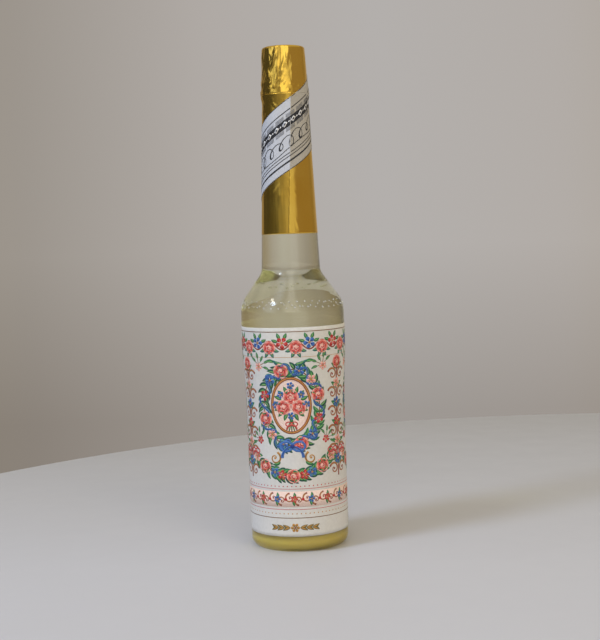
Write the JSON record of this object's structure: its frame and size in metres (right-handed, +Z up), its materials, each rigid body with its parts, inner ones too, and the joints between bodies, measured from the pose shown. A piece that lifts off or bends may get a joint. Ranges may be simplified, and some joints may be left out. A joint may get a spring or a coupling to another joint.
{
  "type": "cologne bottle",
  "caption": "Tall waisted glass bottle of cologne with a long tapered neck, wrap label, gold foil, diagonal paper seal strip and a screw cap that unscrews over a pour plug.",
  "frame": {"origin": "middle of the base, on the surface that the bottle stands on", "axes": "+Z up along the bottle's axis, front of the label towards -Y"},
  "size_m": [0.0554, 0.0555, 0.265],
  "materials": {
    "glass": "clear, polished",
    "liquid": "clear pale yellow-green liquid",
    "label_paper": "coated, printed",
    "gold_foil": "crumpled gold foil",
    "strip_paper": "thin, printed black",
    "plug_plastic": "natural polyethylene",
    "liner_foam": "foamed polyethylene",
    "cap_plastic": "moulded"
  },
  "bodies": {
    "bottle": {"glass_bottle": "glass", "cologne": "liquid", "body_label": "label_paper", "neck_foil": "gold_foil", "seal_strip": "strip_paper", "orifice_reducer": "plug_plastic"},
    "liner": {"cap_liner": "liner_foam"},
    "cap": {"screw_cap": "cap_plastic", "cap_foil": "gold_foil", "seal_strip_tab": "strip_paper"}
  },
  "joints": [
    {"name": "cap_lift", "type": "slide", "parent": "bottle", "child": "liner", "axis": [0, 0, 1], "range_m": [0, 0.0225]},
    {"name": "cap_turn", "type": "hinge", "parent": "liner", "child": "cap", "pos_m": [0, 0, 0.2526], "axis": [0, 0, 1], "range_deg": [0, 2520]}
  ],
  "couplings": [
    {"joint": "cap_lift", "follows": "cap_turn", "m_per_rad": 0.0005093}
  ]
}
